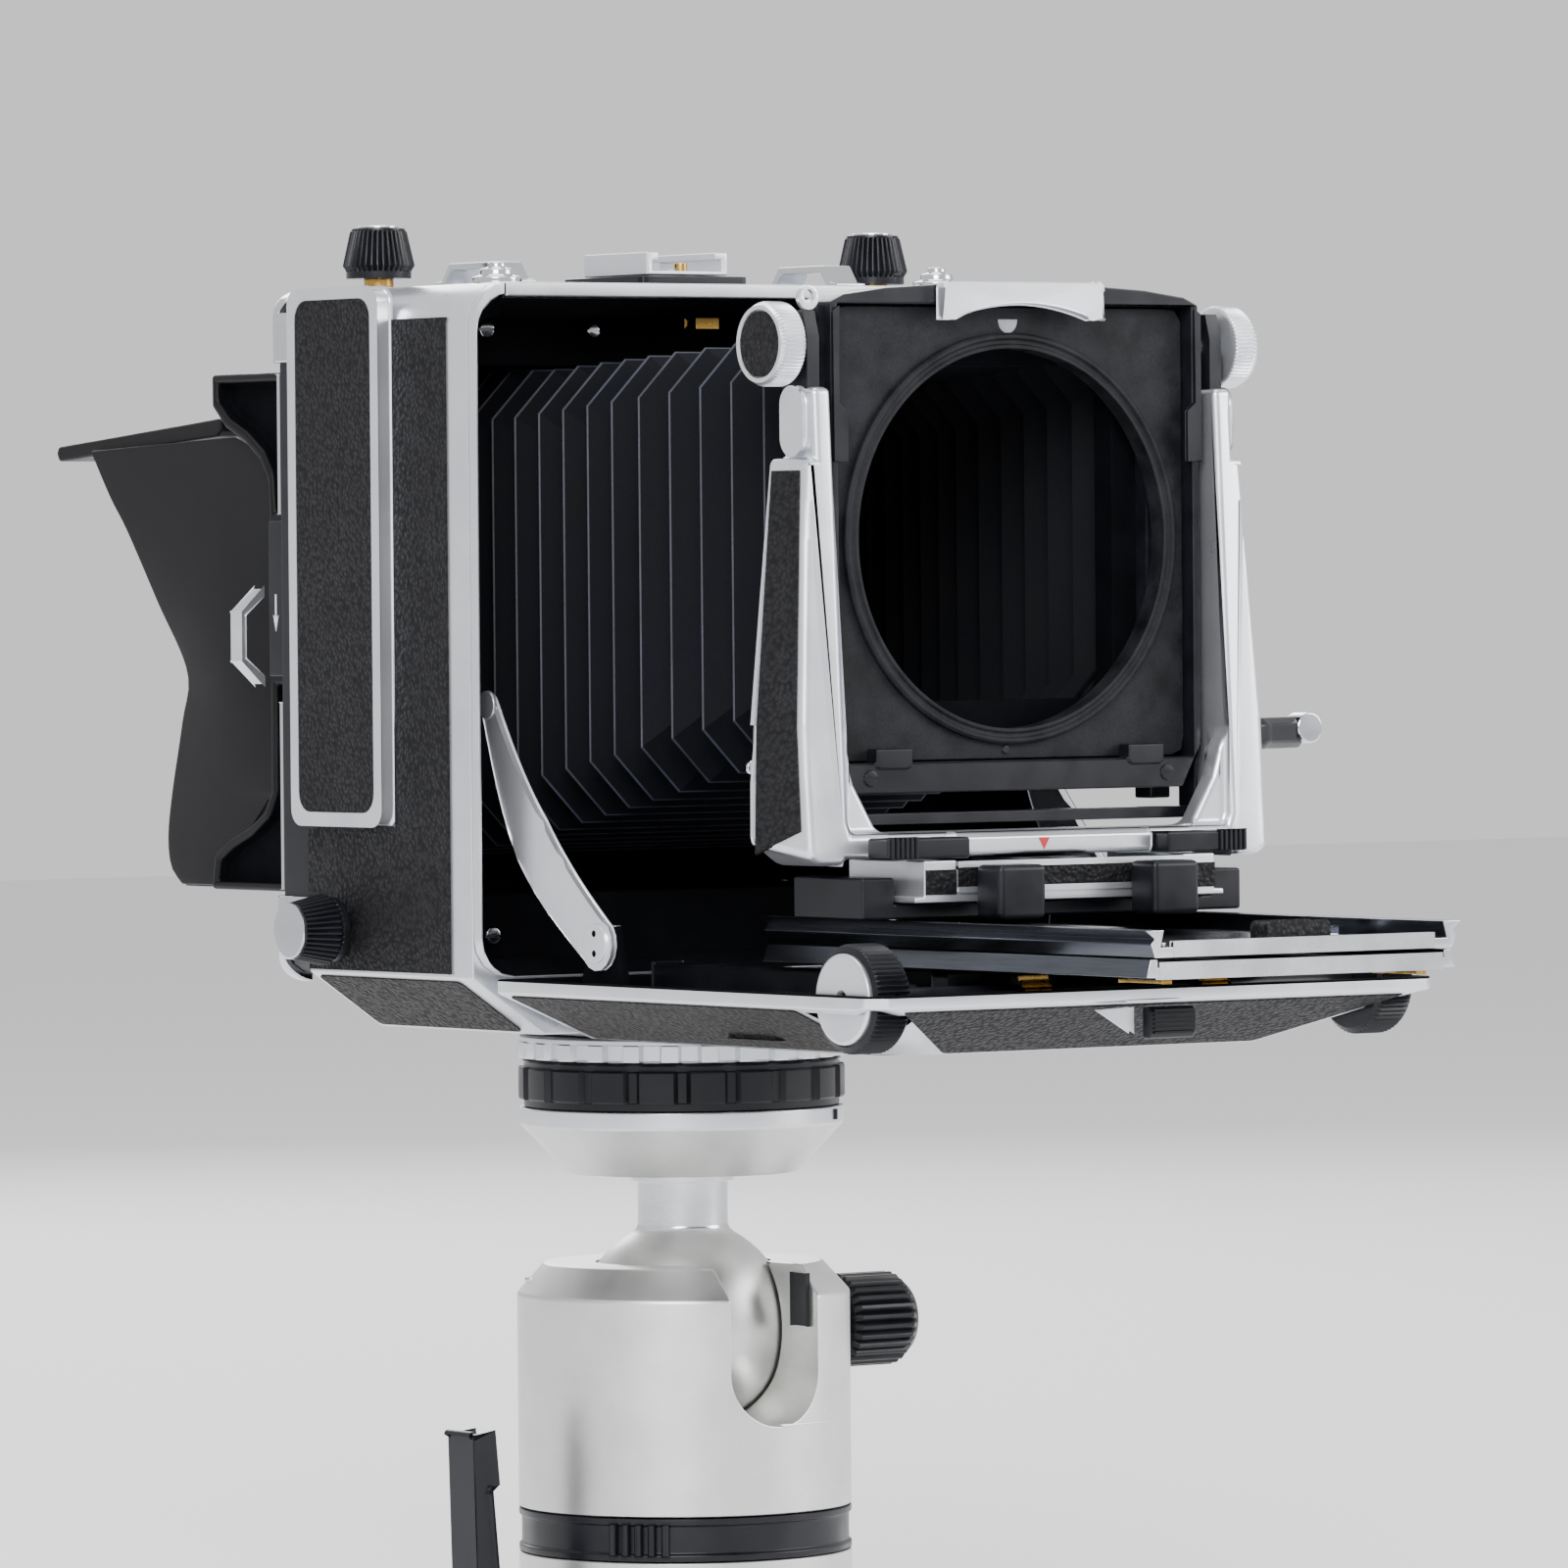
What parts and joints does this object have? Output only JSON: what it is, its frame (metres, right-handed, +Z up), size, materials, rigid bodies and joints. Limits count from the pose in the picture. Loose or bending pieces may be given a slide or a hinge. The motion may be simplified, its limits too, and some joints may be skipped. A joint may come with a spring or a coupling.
{
  "type": "folding field camera on ball head",
  "caption": "Folding sheet-film field camera with open bed, bellows, lens standard and rear viewing hood, on a lockable ball head with a stud socket.",
  "frame": {"origin": "mouth of the stud socket: centre of the ball head base underside, on the head axis", "axes": "+Z up along the head axis, -Y the way the lens looks, +X right seen from the front"},
  "size_m": [0.1898, 0.4146, 0.3462],
  "materials": {
    "silver": "satin silver enamel on cast aluminium",
    "bead_blasted": "bead blasted and anodised",
    "chrome": "bright plated",
    "black_anodised": "black anodised, fine turning lines",
    "matte_black": "fine textured matte black",
    "leather": "pebble grain",
    "bellows": "coated pleated cloth",
    "rail": "machined bright ends, dark polished sides",
    "brass": "turned",
    "ground_glass": "finely ground"
  },
  "bodies": {
    "base": {"head_base": "bead_blasted"},
    "pan_lever": {"pan_lever": "black_anodised"},
    "pan_head": {"pan_ring": "black_anodised", "head_housing": "bead_blasted"},
    "ball_lock_knob": {"ball_lock_knob": "black_anodised"},
    "ball": {"ball": "bead_blasted"},
    "camera": {"platform_dish": "bead_blasted", "camera_screw": "chrome", "camera_plate": "bead_blasted", "body_shell": "leather", "front_bezel": "silver", "side_plate_left": "leather", "side_plate_right": "leather", "strap_lug_left": "silver", "strap_lug_right": "silver", "shoe_base": "black_anodised", "accessory_shoe": "silver", "bellows": "bellows"},
    "clamp_ring": {"clamp_ring": "black_anodised"},
    "top_flap": {"body_top_flap": "silver"},
    "button_left": {"body_button_left": "silver"},
    "button_right": {"body_button_right": "silver"},
    "back": {"back_frame": "black_anodised"},
    "knob_top_left": {"back_knob_top_left": "black_anodised"},
    "knob_top_right": {"back_knob_top_right": "black_anodised"},
    "knob_side_left": {"back_knob_side_left": "black_anodised"},
    "knob_side_right": {"back_knob_side_right": "black_anodised"},
    "revolving_back": {"revolving_back": "black_anodised", "ground_glass": "ground_glass", "hood_base": "matte_black"},
    "hood_flap": {"hood_flap": "matte_black"},
    "hood_side_left": {"hood_side_left": "matte_black"},
    "hood_side_right": {"hood_side_right": "matte_black"},
    "slide_lock": {"back_slide_lock": "black_anodised"},
    "hood_pull": {"hood_pull": "silver"},
    "bed": {"bed": "silver"},
    "strut_left": {"strut_left": "silver"},
    "strut_right": {"strut_right": "silver"},
    "bed_catch": {"bed_catch": "black_anodised"},
    "focus_drive": {"focus_wheel_left": "silver", "focus_wheel_right": "silver", "focus_shaft": "brass"},
    "focus_lock": {"focus_lock_lever": "black_anodised"},
    "lower_rail": {"lower_rail": "rail"},
    "upper_rail": {"upper_rail": "rail"},
    "carriage": {"carriage": "black_anodised", "standard_base": "silver"},
    "pinch_left": {"pinch_lever_left": "black_anodised"},
    "pinch_right": {"pinch_lever_right": "black_anodised"},
    "swing": {"swing_plate": "black_anodised"},
    "clamp_left": {"clamp_lever_left": "black_anodised"},
    "clamp_right": {"clamp_lever_right": "black_anodised"},
    "u_frame": {"u_frame": "silver"},
    "knob_left": {"standard_knob_left": "silver"},
    "knob_right": {"standard_knob_right": "silver"},
    "rise_lever": {"rise_lever": "black_anodised"},
    "rise_slide": {"rise_slide": "chrome"},
    "lens_carrier": {"lens_carrier": "matte_black", "lens_board": "matte_black"},
    "board_lock": {"board_lock": "silver"}
  },
  "joints": [
    {"name": "head_pan", "type": "hinge", "parent": "base", "child": "pan_head", "pos_m": [0, 0, 0.043], "axis": [0, 0, 1], "continuous": true},
    {"name": "pan_lock", "type": "hinge", "parent": "base", "child": "pan_lever", "pos_m": [-0.0386, 0, 0.032], "axis": [1, 0, 0], "range_deg": [-60, 60]},
    {"name": "ball_nod", "type": "hinge", "parent": "pan_head", "child": "ball", "pos_m": [0, 0, 0.094], "axis": [1, 0, 0], "range_deg": [-25, 58]},
    {"name": "ball_lock", "type": "hinge", "parent": "pan_head", "child": "ball_lock_knob", "pos_m": [0.0386, 0, 0.093], "axis": [1, 0, 0], "range_deg": [0, 270]},
    {"name": "ball_twist", "type": "hinge", "parent": "ball", "child": "camera", "pos_m": [0, 0, 0.1295], "axis": [0, 0, 1], "continuous": true},
    {"name": "plate_clamp", "type": "hinge", "parent": "camera", "child": "clamp_ring", "pos_m": [0, 0, 0.145], "axis": [0, 0, 1], "range_deg": [0, 45]},
    {"name": "top_flap_open", "type": "hinge", "parent": "camera", "child": "top_flap", "pos_m": [0, -0.0107, 0.3323], "axis": [-1, 0, 0], "range_deg": [0, 50]},
    {"name": "button_left_press", "type": "slide", "parent": "camera", "child": "button_left", "axis": [0, 0, -1], "range_m": [0, 0.0012], "stiffness_N_per_m": 500},
    {"name": "button_right_press", "type": "slide", "parent": "camera", "child": "button_right", "axis": [0, 0, -1], "range_m": [0, 0.0012], "stiffness_N_per_m": 500},
    {"name": "back_extend", "type": "slide", "parent": "camera", "child": "back", "axis": [0, 1, 0], "range_m": [0, 0.03], "deforming": ["bellows"]},
    {"name": "knob_top_left_turn", "type": "hinge", "parent": "camera", "child": "knob_top_left", "pos_m": [-0.0692, 0.0181, 0.3326], "axis": [0, 0, 1], "range_deg": [0, 270]},
    {"name": "knob_top_right_turn", "type": "hinge", "parent": "camera", "child": "knob_top_right", "pos_m": [0.0692, 0.0181, 0.3326], "axis": [0, 0, 1], "range_deg": [0, 270]},
    {"name": "knob_side_left_turn", "type": "hinge", "parent": "camera", "child": "knob_side_left", "pos_m": [-0.0813, 0.0181, 0.187], "axis": [1, 0, 0], "range_deg": [0, 270]},
    {"name": "knob_side_right_turn", "type": "hinge", "parent": "camera", "child": "knob_side_right", "pos_m": [0.0813, 0.0181, 0.187], "axis": [1, 0, 0], "range_deg": [0, 270]},
    {"name": "back_revolve", "type": "hinge", "parent": "back", "child": "revolving_back", "pos_m": [0, 0.0457, 0.2545], "axis": [0, 1, 0], "range_deg": [0, 90]},
    {"name": "hood_flap_close", "type": "hinge", "parent": "revolving_back", "child": "hood_flap", "pos_m": [0, 0.1075, 0.3025], "axis": [-1, 0, 0], "range_deg": [0, 90]},
    {"name": "hood_side_left_fold", "type": "hinge", "parent": "revolving_back", "child": "hood_side_left", "pos_m": [-0.057, 0.0786, 0.274], "axis": [0, 0, -1], "range_deg": [0, 90]},
    {"name": "hood_side_right_fold", "type": "hinge", "parent": "revolving_back", "child": "hood_side_right", "pos_m": [0.057, 0.0826, 0.274], "axis": [0, 0, 1], "range_deg": [0, 90]},
    {"name": "slide_lock_move", "type": "slide", "parent": "revolving_back", "child": "slide_lock", "axis": [0, 0, -1], "range_m": [0, 0.005]},
    {"name": "hood_pull_open", "type": "hinge", "parent": "revolving_back", "child": "hood_pull", "pos_m": [-0.0633, 0.0728, 0.254], "axis": [0, 0, 1], "range_deg": [0, 25]},
    {"name": "bed_drop", "type": "hinge", "parent": "camera", "child": "bed", "pos_m": [0, -0.0377, 0.167], "axis": [1, 0, 0], "range_deg": [0, 30], "deforming": ["bellows"]},
    {"name": "strut_left_swing", "type": "hinge", "parent": "bed", "child": "strut_left", "pos_m": [-0.073, -0.0741, 0.1857], "axis": [1, 0, 0], "range_deg": [-36, 0]},
    {"name": "strut_right_swing", "type": "hinge", "parent": "bed", "child": "strut_right", "pos_m": [0.073, -0.0741, 0.1857], "axis": [1, 0, 0], "range_deg": [-36, 0]},
    {"name": "bed_catch_press", "type": "slide", "parent": "bed", "child": "bed_catch", "axis": [0, 0, -1], "range_m": [0, 0.003], "stiffness_N_per_m": 300},
    {"name": "focus_wheel_turn", "type": "hinge", "parent": "bed", "child": "focus_drive", "pos_m": [0, -0.1667, 0.176], "axis": [1, 0, 0], "range_deg": [-520, 260]},
    {"name": "focus_lock_turn", "type": "hinge", "parent": "bed", "child": "focus_lock", "pos_m": [-0.052, -0.1487, 0.176], "axis": [0, 0, 1], "range_deg": [0, 35]},
    {"name": "rail_focus", "type": "slide", "parent": "bed", "child": "lower_rail", "axis": [0, 1, 0], "range_m": [-0.02, 0.04], "deforming": ["bellows"]},
    {"name": "top_rail_extend", "type": "slide", "parent": "lower_rail", "child": "upper_rail", "axis": [0, 1, 0], "range_m": [-0.03, 0], "deforming": ["bellows"]},
    {"name": "standard_slide", "type": "slide", "parent": "upper_rail", "child": "carriage", "axis": [0, 1, 0], "range_m": [-0.045, 0.025], "deforming": ["bellows"]},
    {"name": "pinch_left_press", "type": "slide", "parent": "carriage", "child": "pinch_left", "axis": [1, 0, 0], "range_m": [0, 0.004], "stiffness_N_per_m": 500},
    {"name": "pinch_right_press", "type": "slide", "parent": "carriage", "child": "pinch_right", "axis": [-1, 0, 0], "range_m": [0, 0.004], "stiffness_N_per_m": 500},
    {"name": "swing_turn", "type": "hinge", "parent": "carriage", "child": "swing", "pos_m": [0, -0.1337, 0.204], "axis": [0, 0, 1], "range_deg": [-8, 8], "deforming": ["bellows"]},
    {"name": "clamp_left_turn", "type": "hinge", "parent": "swing", "child": "clamp_left", "pos_m": [-0.03, -0.1457, 0.207], "axis": [0, 0, 1], "range_deg": [0, 20]},
    {"name": "clamp_right_turn", "type": "hinge", "parent": "swing", "child": "clamp_right", "pos_m": [0.03, -0.1457, 0.207], "axis": [0, 0, -1], "range_deg": [0, 20]},
    {"name": "shift_slide", "type": "slide", "parent": "swing", "child": "u_frame", "axis": [1, 0, 0], "range_m": [-0.01, 0.01], "deforming": ["bellows"]},
    {"name": "knob_left_turn", "type": "hinge", "parent": "u_frame", "child": "knob_left", "pos_m": [-0.0524, -0.1257, 0.3164], "axis": [1, 0, 0], "range_deg": [0, 180]},
    {"name": "knob_right_turn", "type": "hinge", "parent": "u_frame", "child": "knob_right", "pos_m": [0.0524, -0.1257, 0.3164], "axis": [1, 0, 0], "range_deg": [0, 180]},
    {"name": "rise_lever_turn", "type": "hinge", "parent": "u_frame", "child": "rise_lever", "pos_m": [0.067, -0.1237, 0.23], "axis": [1, 0, 0], "range_deg": [-30, 30]},
    {"name": "rise_slide_move", "type": "slide", "parent": "u_frame", "child": "rise_slide", "axis": [0, 0, 1], "range_m": [0, 0.022], "deforming": ["bellows"]},
    {"name": "lens_tilt", "type": "hinge", "parent": "rise_slide", "child": "lens_carrier", "pos_m": [0, -0.1257, 0.274], "axis": [1, 0, 0], "range_deg": [-6, 6], "deforming": ["bellows"]},
    {"name": "board_lock_lift", "type": "slide", "parent": "lens_carrier", "child": "board_lock", "axis": [0, 0, 1], "range_m": [0, 0.003]}
  ],
  "couplings": [
    {"joint": "strut_left_swing", "follows": "bed_drop", "ratio": -1.17},
    {"joint": "strut_right_swing", "follows": "bed_drop", "ratio": -1.17},
    {"joint": "focus_wheel_turn", "follows": "rail_focus", "rad_per_m": -222.22}
  ]
}
